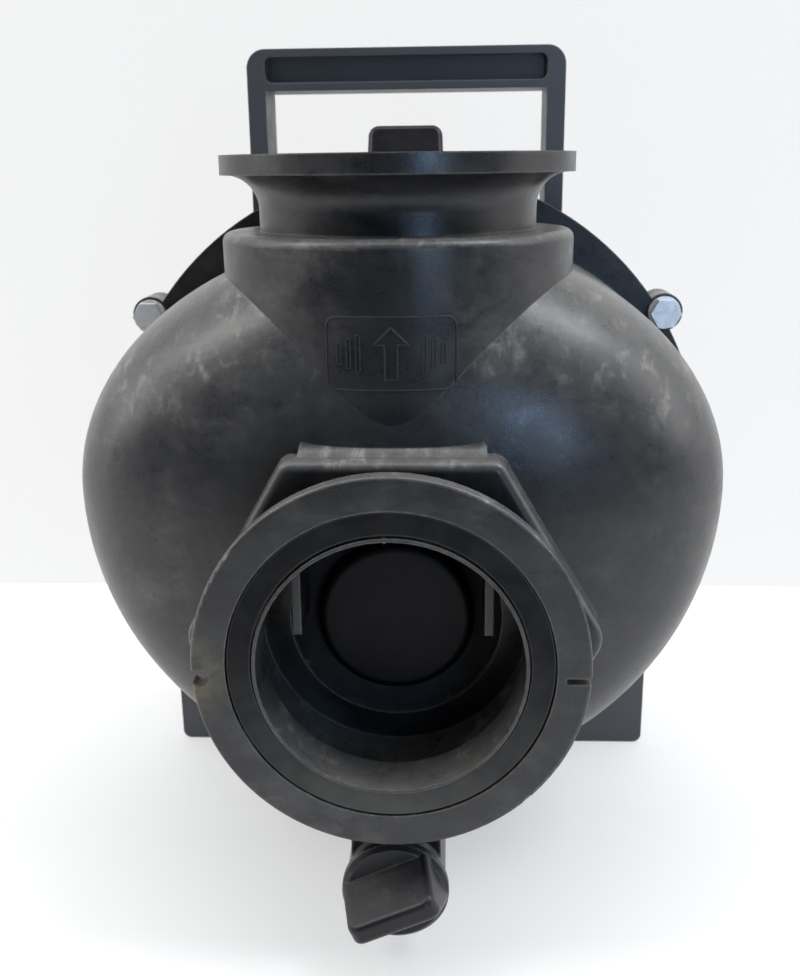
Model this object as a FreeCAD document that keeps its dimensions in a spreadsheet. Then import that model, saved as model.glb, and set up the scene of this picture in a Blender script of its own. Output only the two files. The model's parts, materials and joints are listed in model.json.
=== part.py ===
import FreeCAD, Part
import math
import os
import re

import Sketcher
from FreeCAD import Matrix, Placement, Rotation, Vector

# Pump end of a gas engine trash pump: a moulded bowl casing with three-inch ports,
# a rear housing that bolts to the engine, and the volute, impeller, seal and valve inside.
# X is to the right, Y runs back along the shaft to the engine, Z is up.
# The origin is the middle of the suction flange's front face.

SIZES = {
    # Ports
    "port_radius": 38.1,
    "flange_radius": 56.5,
    "flange_thick": 6.0,
    "neck_radius": 44.5,
    "gasket_radius": 46.7,
    "gasket_thick": 3.0,
    "gasket_gap": 0.5,
    "gasket_shift": 0.35,
    "gasket_sink": 0.3,
    "lip_thick": 1.0,
    "wall": 6.0,
    "notch_height": -3.0,
    "notch_radius": 2.6,
    "slot_length": 6.4,
    "slot_width": 1.9,
    # Suction boss and the valve chamber behind it
    "boss_front": 20.0,
    "boss_half_width": 55.0,
    "boss_back": 44.0,
    "boss_soft": 4.5,
    "boss_side_soft": 9.0,
    "skirt_radius": 5.0,
    "skirt_step": 0.15,
    "skirt_back": 30.0,
    "skirt_half_width": 27.5,
    "chamber_radius": 42.0,
    "chamber_wall": 5.5,
    "land_depth": 16.0,
    "seat_front": 38.0,
    "seat_thick": 5.0,
    "seat_radius": 33.0,
    "chamber_back": 100.0,
    "rib_inside": 27.0,
    "rib_width": 2.6,
    # Discharge collar
    "outlet_back": 86.0,
    "outlet_top": 139.3,
    "collar_top": 116.0,
    "collar_bottom": 50.0,
    "flare_radius": 10.5,
    # Bowl
    "bowl_radius": 107.9,
    "bowl_nose": 28.1,
    "bowl_depth": 61.0,
    "bowl_centre": 32.8,
    "bowl_crown": 0.762,
    "bowl_power": 2.8,
    # Joint between casing and rear housing
    "parting": 145.0,
    "rim_radius": 113.4,
    "rim_thick": 8.0,
    "shaft_height": 21.0,
    "ear_reach": 114.4,
    "ear_radius": 7.0,
    "ear_angle": 32.0,
    "low_ear_angle": 60.0,
    "seal_groove_radius": 107.0,
    "seal_groove_width": 4.0,
    "ring_section": 1.75,
    # Casing fasteners
    "bolt_radius": 3.0,
    "bolt_head_width": 10.0,
    "bolt_head_thick": 4.0,
    "bolt_hole_radius": 3.3,
    "bolt_proud": 9.6,
    "washer_radius": 6.0,
    "washer_thick": 1.6,
    "nut_thick": 5.0,
    # Rear housing
    "drum_radius": 104.0,
    "trough_back": 176.0,
    "adapter_radius": 86.0,
    "adapter_wall": 6.0,
    "hub_plate_front": 143.0,
    "engine_face": 200.0,
    "engine_bolt_circle": 92.1,
    "engine_hole_radius": 4.2,
    "engine_boss_radius": 10.5,
    "engine_head_radius": 7.5,
    "engine_head_depth": 9.0,
    "rib_thick": 5.0,
    "drip_half_width": 18.0,
    # Handle
    "handle_front": 166.0,
    "handle_depth": 24.0,
    "handle_half_width": 60.9,
    "handle_top": 178.6,
    "handle_bar": 15.2,
    "handle_leg": 7.0,
    "handle_foot": 78.0,
    "handle_recess": 3.5,
    "handle_skin": 3.0,
    "handle_soft": 2.5,
    # Pedestal
    "floor": -103.2,
    "foot_half_width": 98.8,
    "foot_thick": 8.0,
    "foot_back": 215.0,
    "foot_soft": 3.5,
    "tongue_half_width": 26.0,
    "tongue_front": 92.0,
    "foot_hole_radius": 4.5,
    "foot_hole_side": 78.0,
    "foot_hole_front": 170.0,
    "foot_hole_rear": 198.0,
    # Screw plugs
    "plug_radius": 10.5,
    "plug_boss_radius": 15.5,
    "plug_head_radius": 16.6,
    "plug_shank": 16.0,
    "plug_gap": 0.5,
    "plug_chamfer": 1.5,
    "plug_skin": 3.0,
    "plug_head_thick": 4.0,
    "plug_ring_section": 1.3,
    "wing_height": 15.0,
    "wing_root": 14.6,
    "wing_tip": 14.0,
    "wing_thick": 5.4,
    "wing_base_thick": 19.0,
    "wing_corner": 4.0,
    "wing_soft": 2.2,
    "wing_tilt": 24.0,
    "drain_slot_half": 7.0,
    "drain_height": -80.0,
    "drain_face": 14.0,
    "fill_back": 162.0,
    "fill_face": 130.5,
    # Flap valve
    "flap_radius": 39.0,
    "flap_thick": 4.0,
    "flap_gap": 0.1,
    "hinge_height": 45.0,
    "hinge_back": 51.0,
    "hinge_pin_radius": 2.4,
    "hinge_half_width": 21.5,
    "hinge_wall": 2.2,
    "lug_inside": 26.0,
    "lug_thick": 5.0,
    "front_weight_radius": 24.5,
    "front_weight_soft": 3.0,
    "rear_weight_radius": 29.0,
    "weight_thick": 5.0,
    "rivet_radius": 3.0,
    "rivet_head_radius": 5.5,
    # Volute
    "volute_front": 108.0,
    "volute_wall": 4.0,
    "volute_start": 63.0,
    "volute_growth": 14.0,
    "volute_throat": 38.0,
    "volute_flange_radius": 85.0,
    "eye_radius": 29.0,
    "spigot_front": 98.0,
    "volute_screw_circle": 80.0,
    "volute_screw_radius": 2.4,
    "volute_head_radius": 4.2,
    "volute_head_thick": 3.2,
    "insert_radius": 3.5,
    "insert_length": 9.5,
    "insert_boss_radius": 6.5,
    "inlet_groove_radius": 31.6,
    "inlet_ring_section": 1.8,
    # Impeller, shaft sleeve and seal
    "impeller_radius": 60.0,
    "impeller_front": 113.0,
    "shroud_front": 133.0,
    "impeller_back": 137.5,
    "hub_radius": 17.0,
    "hub_front": 119.0,
    "vane_thick": 5.0,
    "sleeve_radius": 12.5,
    "sleeve_front": 122.0,
    "sleeve_back": 178.0,
    "shaft_end": 138.0,
    "shaft_radius": 9.55,
    "screw_radius": 3.95,
    "screw_hole_radius": 4.2,
    "screw_head_width": 12.7,
    "screw_head_thick": 5.4,
    "screw_washer_radius": 9.0,
    "screw_washer_thick": 2.0,
    "keyway_half_width": 2.4,
    "keyway_depth": 1.9,
    "seal_chamber_radius": 22.0,
    "seat_pocket_front": 160.0,
    "seat_pocket_back": 168.0,
    "seat_pocket_radius": 19.0,
    "seal_wall_back": 174.0,
    # Running gap between a turning piece and its neighbour
    "running_gap": 0.05,
}

WORDS = re.compile(r"[a-z_]{4,}")
AXES = {
    "y": Rotation(Vector(1, 0, 0), -90),
    "front": Rotation(Vector(1, 0, 0), 90),
    "z": Rotation(),
    "down": Rotation(Vector(1, 0, 0), 180),
    "x": Rotation(Vector(0, 1, 0), 90),
}

doc = FreeCAD.newDocument("TrashPump")
sheet = doc.addObject("Spreadsheet::Sheet", "Dims")
for row, (alias, number) in enumerate(SIZES.items(), start=1):
    sheet.set(f"A{row}", alias)
    sheet.set(f"B{row}", str(number))
    sheet.setAlias(f"B{row}", alias)
doc.recompute()


def bound(expression):
    """Point each size name of an expression at its cell."""
    return WORDS.sub(lambda word: f"Dims.{word.group(0)}", expression)


def size(expression):
    """The present number behind a size expression."""
    return float(sheet.evalExpression(bound(expression)))


def place(item, rotation=Rotation(), at=("0", "0", "0")):
    """Turn an object and tie its position to the sheet."""
    item.Placement = Placement(Vector(*(size(part) for part in at)), rotation)
    for letter, expression in zip("xyz", at):
        item.setExpression(f"Placement.Base.{letter}", bound(expression))
    return item


def outline_sketch(body, label, outline, plane):
    """A closed outline of straight edges, each corner tied to the sheet."""
    sketch = body.newObject("Sketcher::SketchObject", label)
    base = [feature for feature in body.Origin.OriginFeatures if feature.Role == plane]
    sketch.AttachmentSupport = [(base[0], "")]
    sketch.MapMode = "FlatFace"
    corners = [Vector(size(across), size(along), 0) for across, along in outline]
    for index, corner in enumerate(corners):
        after = corners[(index + 1) % len(corners)]
        sketch.addGeometry(Part.LineSegment(corner, after), False)
    for index in range(len(corners)):
        following = (index + 1) % len(corners)
        sketch.addConstraint(Sketcher.Constraint("Coincident", index, 2, following, 1))
    for index, corner in enumerate(corners):
        for kind, expression, number in zip(("DistanceX", "DistanceY"), outline[index], corner):
            rule = Sketcher.Constraint(kind, -1, 1, index, 1, number)
            position = sketch.addConstraint(rule)
            sketch.setExpression(f"Constraints[{position}]", bound(expression))
    return sketch


def lathe(label, outline, axis="y", at=("0", "0", "0")):
    """A body turned about its own axis from (radius, distance) corners."""
    body = doc.addObject("PartDesign::Body", label)
    sketch = outline_sketch(body, label + "_outline", outline, "XZ_Plane")
    turned = body.newObject("PartDesign::Revolution", label + "_turned")
    turned.Profile = sketch
    turned.ReferenceAxis = (sketch, ["V_Axis"])
    turned.Angle = 360
    return place(body, AXES[axis], at)


def slab(label, outline, thick, plane="XZ_Plane", at=("0", "0", "0"), turn=Rotation()):
    """A body padded evenly to both sides of one of its planes."""
    body = doc.addObject("PartDesign::Body", label)
    sketch = outline_sketch(body, label + "_outline", outline, plane)
    pad = body.newObject("PartDesign::Pad", label + "_pad")
    pad.Profile = sketch
    pad.Midplane = True
    pad.setExpression("Length", bound(thick))
    return place(body, turn, at)


def rod(label, radius, length, axis="y", at=("0", "0", "0")):
    item = doc.addObject("Part::Cylinder", label)
    item.setExpression("Radius", bound(radius))
    item.setExpression("Height", bound(length))
    return place(item, AXES[axis], at)


def block(label, spans):
    """A box given by its (low, high) limits along X, Y and Z."""
    item = doc.addObject("Part::Box", label)
    for name, (low, high) in zip(("Length", "Width", "Height"), spans):
        item.setExpression(name, bound(f"({high}) - ({low})"))
    return place(item, Rotation(), tuple(low for low, high in spans))


def ring(label, radius, section, axis="y", at=("0", "0", "0")):
    item = doc.addObject("Part::Torus", label)
    item.setExpression("Radius1", bound(radius))
    item.setExpression("Radius2", bound(section))
    return place(item, AXES[axis], at)


def joined(label, pieces):
    item = doc.addObject("Part::MultiFuse", label)
    item.Shapes = pieces
    return item


def less(label, base, tools):
    item = doc.addObject("Part::Cut", label)
    item.Base = base
    item.Tool = tools[0] if len(tools) == 1 else joined(label + "_cuts", tools)
    return item


def common(label, pieces):
    item = doc.addObject("Part::MultiCommon", label)
    item.Shapes = pieces
    return item


def softened(label, base, wanted, radius):
    """Round the edges of base for which wanted(edge) is true."""
    doc.recompute()
    chosen = [i for i, edge in enumerate(base.Shape.Edges, start=1) if wanted(edge)]
    item = doc.addObject("Part::Fillet", label)
    item.Base = base
    item.Edges = [(index, size(radius), size(radius)) for index in chosen]
    return item


def coded(label, shape):
    """A piece whose shape is worked out here, left where its shape lies."""
    item = doc.addObject("Part::Feature", label)
    item.Shape = shape
    item.Placement = shape.Placement
    return item


def circle_at(edge, radius, height, axis):
    """True for a full circle of this radius at this distance along an axis."""
    if not isinstance(edge.Curve, Part.Circle):
        return False
    middle = edge.Curve.Center
    along = {"x": middle.x, "y": middle.y, "z": middle.z}[axis]
    return abs(edge.Curve.Radius - size(radius)) < 0.01 and abs(along - size(height)) < 0.01


def around(reach, angle):
    """X and Z expressions of a place at this reach and angle from the shaft axis."""
    return (f"({reach}) * cos({angle})", f"shaft_height + ({reach}) * sin({angle})")


# ---------------------------------------------------------------- front casing

EAR_ANGLES = (
    "ear_angle * 1 deg",
    "180 deg - ear_angle * 1 deg",
    "-ear_angle * 1 deg",
    "180 deg + ear_angle * 1 deg",
    "-low_ear_angle * 1 deg",
    "180 deg + low_ear_angle * 1 deg",
)


def bowl_shape(inset):
    """The bowl's dome and barrel, shrunk by inset, with its upper half flattened."""
    radius = size("bowl_radius") - inset
    nose = size("bowl_nose") + inset
    shoulder = size("bowl_nose + bowl_depth")
    depth = shoulder - nose
    power = 2.0 / size("bowl_power")
    steps = 9
    curve_points = []
    for step in range(steps + 1):
        turn = math.radians(90.0 * step / steps)
        reach = radius * math.sin(turn) ** power
        curve_points.append(Vector(reach, shoulder - depth * math.cos(turn) ** power, 0))
    dome = Part.BSplineCurve()
    dome.interpolate(curve_points, InitialTangent=Vector(1, 0, 0), FinalTangent=Vector(0, 1, 0))
    back = size("parting")
    corners = [curve_points[-1], Vector(radius, back, 0), Vector(0, back, 0), curve_points[0]]
    edges = [dome.toShape()] + [Part.makeLine(a, b) for a, b in zip(corners, corners[1:])]
    half_section = Part.Face(Part.Wire(edges))
    lower = half_section.revolve(Vector(0, 0, 0), Vector(0, 1, 0), 180)
    upper = half_section.revolve(Vector(0, 0, 0), Vector(0, 1, 0), -180)
    flatten = Matrix()
    flatten.scale(1, 1, size("bowl_crown"))
    shape = lower.fuse(upper.transformGeometry(flatten))
    shape.translate(Vector(0, 0, size("bowl_centre")))
    return shape


def chamber(label, radius, front, back):
    """A tall rounded channel that reaches from the port's height to the shaft's."""
    depth = f"({back}) - ({front})"
    pieces = [
        rod(label + "_low", radius, depth, "y", ("0", front, "0")),
        rod(label + "_high", radius, depth, "y", ("0", front, "shaft_height")),
        block(label + "_middle", ((f"-({radius})", radius), (front, back), ("0", "shaft_height"))),
    ]
    return joined(label, pieces)


def hexagon_boss():
    """The six-sided boss, with wide side corners and tighter top and bottom corners."""
    corner = "boss_half_width / cos(30 deg)"
    corners = [(f"{corner} * cos({60 * k} deg)", f"{corner} * sin({60 * k} deg)") for k in range(6)]
    middle = "(boss_front + boss_back) / 2"
    prism = slab("hexagon", corners, "boss_back - boss_front", at=("0", middle, "0"))
    front = size("boss_front")
    limit = size("boss_half_width")

    def side_corner(edge):
        box = edge.BoundBox
        return box.YLength > 1 and max(box.XMax, -box.XMin) > limit

    def other_corner(edge):
        box = edge.BoundBox
        return box.YLength > 1 and max(box.ZMax, -box.ZMin) > limit - 0.1

    sides = softened("hexagon_sides", prism, side_corner, "boss_side_soft")
    rounded = softened("hexagon_corners", sides, other_corner, "boss_soft")
    return softened(
        "suction_boss",
        rounded,
        lambda edge: edge.BoundBox.YMax - front < 0.01,
        "gasket_thick",
    )


def boss_skirt():
    """The hollow curve that spreads the boss's top flat onto the bowl."""
    top = "boss_half_width + skirt_radius + skirt_step"
    front = "skirt_back - skirt_radius"
    strip = block(
        "skirt_block",
        (
            ("-skirt_half_width", "skirt_half_width"),
            (front, "boss_back"),
            ("boss_half_width - wall", top),
        ),
    )
    height = size(top)
    rounded = softened(
        "skirt_rounded",
        strip,
        lambda edge: edge.BoundBox.ZMin > height - 0.01 and edge.BoundBox.YLength > 1,
        "boss_soft",
    )
    start = ("-skirt_half_width - 1", front, top)
    curve = rod("skirt_curve", "skirt_radius", "(skirt_half_width + 1) * 2", "x", start)
    return less("boss_skirt", rounded, [curve])


def suction_spout():
    outline = [
        ("0", "0"),
        ("flange_radius", "0"),
        ("flange_radius", "flange_thick"),
        ("neck_radius", "flange_thick"),
        ("neck_radius", "boss_front + wall"),
        ("0", "boss_front + wall"),
    ]
    spout = lathe("suction_spout", outline)

    def wanted(edge):
        rim = circle_at(edge, "flange_radius", "0", "y")
        return rim or circle_at(edge, "flange_radius", "flange_thick", "y")

    return softened("suction_flange", spout, wanted, "running_gap * 20")


def discharge_collar():
    outline = [
        ("0", "collar_bottom"),
        ("flange_radius", "collar_bottom"),
        ("flange_radius", "collar_top"),
        ("neck_radius", "collar_top"),
        ("neck_radius", "outlet_top - flange_thick"),
        ("flange_radius", "outlet_top - flange_thick"),
        ("flange_radius", "outlet_top"),
        ("0", "outlet_top"),
    ]
    collar = lathe("collar_turned", outline, "z", ("0", "outlet_back", "0"))
    flared = softened(
        "collar_flared",
        collar,
        lambda edge: circle_at(edge, "neck_radius", "outlet_top - flange_thick", "z"),
        "flare_radius",
    )
    return softened(
        "discharge_collar",
        flared,
        lambda edge: circle_at(edge, "flange_radius", "collar_top", "z"),
        "gasket_thick",
    )


def ears(label, front):
    pieces = []
    for number, angle in enumerate(EAR_ANGLES, start=1):
        across, up = around("ear_reach", angle)
        pieces.append(
            rod(f"{label}_{number}", "ear_radius", "rim_thick", "y", (across, front, up))
        )
    return pieces


def ear_holes(label):
    pieces = []
    for number, angle in enumerate(EAR_ANGLES, start=1):
        across, up = around("ear_reach", angle)
        front = "parting - rim_thick * 2"
        at = (across, front, up)
        pieces.append(rod(f"{label}_{number}", "bolt_hole_radius", "rim_thick * 4", "y", at))
    return pieces


def drain_boss():
    """The drain plug's tube, and the web that ties it to the suction boss."""
    back = "bowl_nose + bowl_depth + wall"
    tube = rod(
        "drain_tube",
        "plug_boss_radius",
        f"{back} - drain_face",
        "y",
        ("0", "drain_face", "drain_height"),
    )
    web = block(
        "drain_web",
        (
            ("-plug_boss_radius + plug_chamfer", "plug_boss_radius - plug_chamfer"),
            ("drain_face + plug_head_thick", "bowl_nose + bowl_depth"),
            ("drain_height", "-boss_half_width + wall"),
        ),
    )
    return [tube, web]


def plug_hole(label, axis, face, depth):
    """The bore and the ring groove that take a screw plug, cut in from its boss face."""
    bore = "plug_radius + running_gap"
    groove = "plug_radius + plug_ring_section * 3"
    outline = [
        ("0", f"-({depth})"),
        (bore, f"-({depth})"),
        (bore, "-plug_ring_section * 2"),
        (groove, "-plug_ring_section * 2"),
        (groove, "1"),
        ("0", "1"),
    ]
    return lathe(label, outline, axis, face)


def mirrored_blocks(label, inside, thick, depth, height):
    """The same box on the left and on the right of the middle plane."""
    left = block(f"{label}_left", ((f"-({inside}) - ({thick})", f"-({inside})"), depth, height))
    right = block(f"{label}_right", ((inside, f"{inside} + {thick}"), depth, height))
    return joined(label, [left, right])


def hinge_lugs():
    """Two lugs under the valve chamber's roof that carry the flap's pin."""
    depth = ("seat_front + 1", "hinge_back + hinge_pin_radius * 2")
    height = ("flap_radius + 2", "shaft_height + chamber_radius")
    lugs = mirrored_blocks("lug_blocks", "lug_inside", "lug_thick", depth, height)
    room = chamber("lug_room", "chamber_radius + 1", "seat_front + 1", "chamber_back")
    return common("hinge_lugs", [lugs, room])


def guide_ribs():
    """Two upright ribs on the inlet's walls, just ahead of the valve seat."""
    depth = ("land_depth + rib_width", "seat_front + 1")
    height = ("notch_radius", "chamber_radius")
    ribs = mirrored_blocks("rib_blocks", "rib_inside", "rib_width", depth, height)
    room = rod(
        "rib_room",
        "chamber_radius + 1",
        "seat_front + 1 - land_depth",
        "y",
        ("0", "land_depth", "0"),
    )
    return common("guide_ribs", [ribs, room])


def front_casing():
    solid = joined(
        "casing_solid",
        [
            coded("bowl_outside", bowl_shape(0.0)),
            suction_spout(),
            hexagon_boss(),
            boss_skirt(),
            discharge_collar(),
            rod(
                "casing_rim",
                "rim_radius",
                "rim_thick",
                "y",
                ("0", "parting - rim_thick", "shaft_height"),
            ),
        ]
        + ears("casing_ear", "parting - rim_thick")
        + drain_boss(),
    )
    hollow = less(
        "casing_shell",
        solid,
        [
            coded("bowl_inside", bowl_shape(size("wall"))),
            rod(
                "collar_hollow",
                "flange_radius - wall",
                "collar_top - wall - 72",
                "z",
                ("0", "outlet_back", "72"),
            ),
        ],
    )
    channel = joined(
        "casing_with_chamber",
        [
            hollow,
            common(
                "chamber_in_bowl",
                [
                    chamber(
                        "chamber_outside",
                        "chamber_radius + chamber_wall",
                        "bowl_nose + 1",
                        "chamber_back + chamber_wall",
                    ),
                    joined("chamber_limit", [coded("bowl_limit", bowl_shape(1.0)), hexagon_limit()]),
                ],
            ),
        ],
    )
    opened = less("casing_opened", channel, casing_voids())
    seated = joined("casing_seated", [opened, hinge_lugs(), guide_ribs()])
    return less("front_casing", seated, casing_holes())


def hexagon_limit():
    """A disc inside the suction boss, where the chamber's wall may still stand."""
    depth = "boss_back - boss_front"
    return rod("boss_limit", "boss_half_width - 1", depth, "y", ("0", "boss_front", "0"))


def casing_voids():
    return [
        rod("suction_bore", "port_radius", "seat_front + 1", "y", ("0", "-1", "0")),
        rod(
            "antechamber",
            "chamber_radius",
            "seat_front - land_depth",
            "y",
            ("0", "land_depth", "0"),
        ),
        rod("seat_hole", "seat_radius", "seat_thick * 3", "y", ("0", "seat_front - seat_thick", "0")),
        chamber("valve_chamber", "chamber_radius", "seat_front + seat_thick", "chamber_back"),
        rod(
            "eye_hole",
            "eye_radius + 6.5",
            "chamber_wall * 3",
            "y",
            ("0", "chamber_back - chamber_wall", "shaft_height"),
        ),
        rod(
            "discharge_bore",
            "port_radius",
            "outlet_top - collar_top + wall + 2",
            "z",
            ("0", "outlet_back", "collar_top - wall - 1"),
        ),
    ]


def gasket_seat(label, axis, floor):
    """A flat ring groove that opens at the port's face and leaves a thin lip by the bore."""
    outline = [
        ("port_radius + lip_thick", "0"),
        ("gasket_radius", "0"),
        ("gasket_radius", "-gasket_thick - 1"),
        ("port_radius + lip_thick", "-gasket_thick - 1"),
    ]
    return lathe(label, outline, axis, floor)


def flange_notches():
    """A round notch in the flange's left edge and a thin slot in its right edge."""
    through = "flange_thick + 2"
    middle = "flange_radius - notch_radius"
    round_end = rod("notch_round", "notch_radius", through, "y", (f"-({middle})", "-1", "notch_height"))
    mouth = block(
        "notch_mouth",
        (
            ("-flange_radius - notch_radius", f"-({middle})"),
            ("-1", "flange_thick + 1"),
            ("notch_height - notch_radius / 2", "notch_height + notch_radius"),
        ),
    )
    slot_end = "flange_radius - slot_length"
    slot_round = rod("slot_round", "slot_width / 2", through, "y", (slot_end, "-1", "notch_height"))
    slot = block(
        "slot_mouth",
        (
            (slot_end, "flange_radius + 1"),
            ("-1", "flange_thick + 1"),
            ("notch_height - slot_width / 2", "notch_height + slot_width / 2"),
        ),
    )
    return [round_end, mouth, slot_round, slot]


def casing_holes():
    seat_floor = "outlet_top - gasket_thick"
    groove = lathe(
        "rim_groove",
        [
            ("seal_groove_radius - seal_groove_width / 2", "-ring_section * 2"),
            ("seal_groove_radius + seal_groove_width / 2", "-ring_section * 2"),
            ("seal_groove_radius + seal_groove_width / 2", "1"),
            ("seal_groove_radius - seal_groove_width / 2", "1"),
        ],
        "y",
        ("0", "parting", "shaft_height"),
    )
    pockets = [
        gasket_seat("suction_gasket_seat", "y", ("0", "gasket_thick", "0")),
        gasket_seat("discharge_gasket_seat", "down", ("0", "outlet_back", seat_floor)),
        rod(
            "hinge_pin_hole",
            "hinge_pin_radius",
            "(lug_inside + lug_thick + 1) * 2",
            "x",
            ("-lug_inside - lug_thick - 1", "hinge_back", "hinge_height"),
        ),
        plug_hole(
            "drain_hole",
            "front",
            ("0", "drain_face", "drain_height"),
            "bowl_nose + bowl_depth - drain_face - wall / 2",
        ),
        block(
            "drain_slot",
            (
                ("-drain_slot_half", "drain_slot_half"),
                ("bowl_nose + bowl_depth - plug_shank", "bowl_nose + bowl_depth - wall / 2"),
                ("drain_height", "drain_height + plug_radius * 2.3"),
            ),
        ),
    ]
    pockets += flange_notches()
    return [groove] + pockets + ear_holes("casing_ear_hole")


def port_gasket(label, axis, at):
    """A flat ring that lies in its seat with a narrow gap round its edge."""
    inside = "port_radius + lip_thick + gasket_gap"
    outline = [
        (inside, "0"),
        ("gasket_radius - gasket_gap", "0"),
        ("gasket_radius - gasket_gap", "gasket_thick - gasket_sink"),
        (inside, "gasket_thick - gasket_sink"),
    ]
    return lathe(label, outline, axis, at)


# ---------------------------------------------------------------- rear housing

def rear_housing():
    outside = lathe(
        "housing_turned",
        [
            ("0", "hub_plate_front"),
            ("adapter_radius", "hub_plate_front"),
            ("adapter_radius", "parting"),
            ("rim_radius", "parting"),
            ("rim_radius", "parting + rim_thick"),
            ("drum_radius", "parting + rim_thick"),
            ("drum_radius", "trough_back + wall"),
            ("adapter_radius", "trough_back + wall"),
            ("adapter_radius", "engine_face"),
            ("0", "engine_face"),
        ],
        "y",
        ("0", "0", "shaft_height"),
    )
    solid = joined(
        "housing_solid",
        [outside, handle(), fill_boss(), pedestal()]
        + ears("housing_ear", "parting")
        + outer_ribs(),
    )
    hollow = less("housing_hollow", solid, housing_voids())
    ribbed = joined("housing_ribbed", [hollow, seal_tube()] + engine_bosses() + inner_ribs())
    return less("rear_housing", ribbed, housing_holes())


def handle():
    outer = block(
        "handle_block",
        (
            ("-handle_half_width", "handle_half_width"),
            ("handle_front", "handle_front + handle_depth"),
            ("handle_foot", "handle_top"),
        ),
    )
    top = size("handle_top")
    rounded = softened(
        "handle_rounded",
        outer,
        lambda edge: edge.BoundBox.ZMin > top - 0.01 and edge.BoundBox.YLength > 1,
        "handle_leg",
    )
    window = block(
        "handle_window",
        (
            ("-handle_half_width + handle_leg", "handle_half_width - handle_leg"),
            ("handle_front - 1", "handle_front + handle_depth + 1"),
            ("handle_foot - 1", "handle_top - handle_bar"),
        ),
    )
    recess_front = block(
        "handle_recess_front",
        (
            ("-handle_half_width + handle_leg", "handle_half_width - handle_leg"),
            ("handle_front - 1", "handle_front + handle_recess"),
            ("handle_top - handle_bar + handle_skin", "handle_top - handle_skin"),
        ),
    )
    recess_rear = block(
        "handle_recess_rear",
        (
            ("-handle_half_width + handle_leg", "handle_half_width - handle_leg"),
            ("handle_front + handle_depth - handle_recess", "handle_front + handle_depth + 1"),
            ("handle_top - handle_bar + handle_skin", "handle_top - handle_skin"),
        ),
    )

    def upright(edge):
        box = edge.BoundBox
        return box.YLength > 1 and box.XLength < 0.01 and box.ZLength < 0.01

    tools = [window]
    for recess in (recess_front, recess_rear):
        tools.append(softened(f"{recess.Name}_soft", recess, upright, "handle_soft"))
    return less("handle", rounded, tools)


def fill_boss():
    return rod(
        "fill_boss",
        "plug_boss_radius",
        "fill_face - 100",
        "z",
        ("0", "fill_back", "100"),
    )


def pedestal():
    web = block(
        "foot_web",
        (
            ("-foot_half_width", "foot_half_width"),
            ("parting", "parting + rim_thick"),
            ("floor", "shaft_height - 54"),
        ),
    )
    plate = block(
        "foot_plate",
        (
            ("-foot_half_width", "foot_half_width"),
            ("parting", "foot_back"),
            ("floor", "floor + foot_thick"),
        ),
    )
    tongue = block(
        "foot_tongue",
        (
            ("-tongue_half_width", "tongue_half_width"),
            ("tongue_front", "parting + 1"),
            ("floor", "floor + foot_thick - 2"),
        ),
    )
    low = size("floor")

    def corner(edge):
        box = edge.BoundBox
        return box.ZMax < low + 0.01 and box.YLength > 1 and box.XLength < 0.01

    pieces = [
        tongue,
        softened("foot_web_soft", web, corner, "foot_soft"),
        softened("foot_plate_soft", plate, corner, "foot_soft"),
    ]
    for number, middle in enumerate(("-0.8", "0", "0.8"), start=1):
        gusset = slab(
            f"foot_gusset_{number}",
            [
                ("parting + 1", "floor + 1"),
                ("foot_back - 4", "floor + 1"),
                ("foot_back - 4", "floor + foot_thick + 1"),
                ("trough_back + wall", "shaft_height - adapter_radius"),
                ("parting + 1", "shaft_height - adapter_radius"),
            ],
            "rib_thick",
            "YZ_Plane",
            (f"{middle} * foot_half_width", "0", "0"),
        )
        pieces.append(gusset)
    return joined("pedestal", pieces)


def outer_ribs():
    """Gussets between the back of the drum and the engine adapter."""
    ribs = []
    for number, angle in enumerate((0, 40, 140, 180, 220, 320), start=1):
        rib = slab(
            f"drum_rib_{number}",
            [
                ("adapter_radius - 2", "trough_back + 2"),
                ("drum_radius - 3", "trough_back + 2"),
                ("drum_radius - 3", "trough_back + wall + 2"),
                ("adapter_radius + 2", "engine_face - 3"),
                ("adapter_radius - 2", "engine_face - 3"),
            ],
            "rib_thick",
            "XY_Plane",
            ("0", "0", "shaft_height"),
            Rotation(Vector(0, 1, 0), -angle),
        )
        ribs.append(rib)
    return ribs


def housing_voids():
    trough = lathe(
        "trough_void",
        [
            ("adapter_radius", "hub_plate_front - 1"),
            ("drum_radius - wall", "hub_plate_front - 1"),
            ("drum_radius - wall", "trough_back"),
            ("adapter_radius", "trough_back"),
        ],
        "y",
        ("0", "0", "shaft_height"),
    )
    dry = rod(
        "dry_void",
        "adapter_radius - adapter_wall",
        "engine_face - hub_plate_front",
        "y",
        ("0", "hub_plate_front + wall", "shaft_height"),
    )
    drip = block(
        "drip_slot",
        (
            ("-drip_half_width", "drip_half_width"),
            ("trough_back + wall * 1.5", "engine_face - wall"),
            ("shaft_height - adapter_radius - 1", "shaft_height - adapter_radius + adapter_wall * 2"),
        ),
    )
    return [trough, dry, drip]


def seal_tube():
    return rod(
        "seal_tube",
        "seal_chamber_radius + wall",
        "seal_wall_back - hub_plate_front",
        "y",
        ("0", "hub_plate_front", "shaft_height"),
    )


def engine_places():
    """Names and X, Z expressions of the four engine bolts."""
    places = []
    for number, angle in enumerate((45, 135, 225, 315), start=1):
        places.append((number, around("engine_bolt_circle / 2", f"{angle} deg")))
    return places


def engine_bosses():
    bosses = []
    for number, (across, up) in engine_places():
        at = (across, "hub_plate_front + 1", up)
        length = "engine_face - hub_plate_front - 1"
        bosses.append(rod(f"engine_boss_{number}", "engine_boss_radius", length, "y", at))
    return bosses


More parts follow.
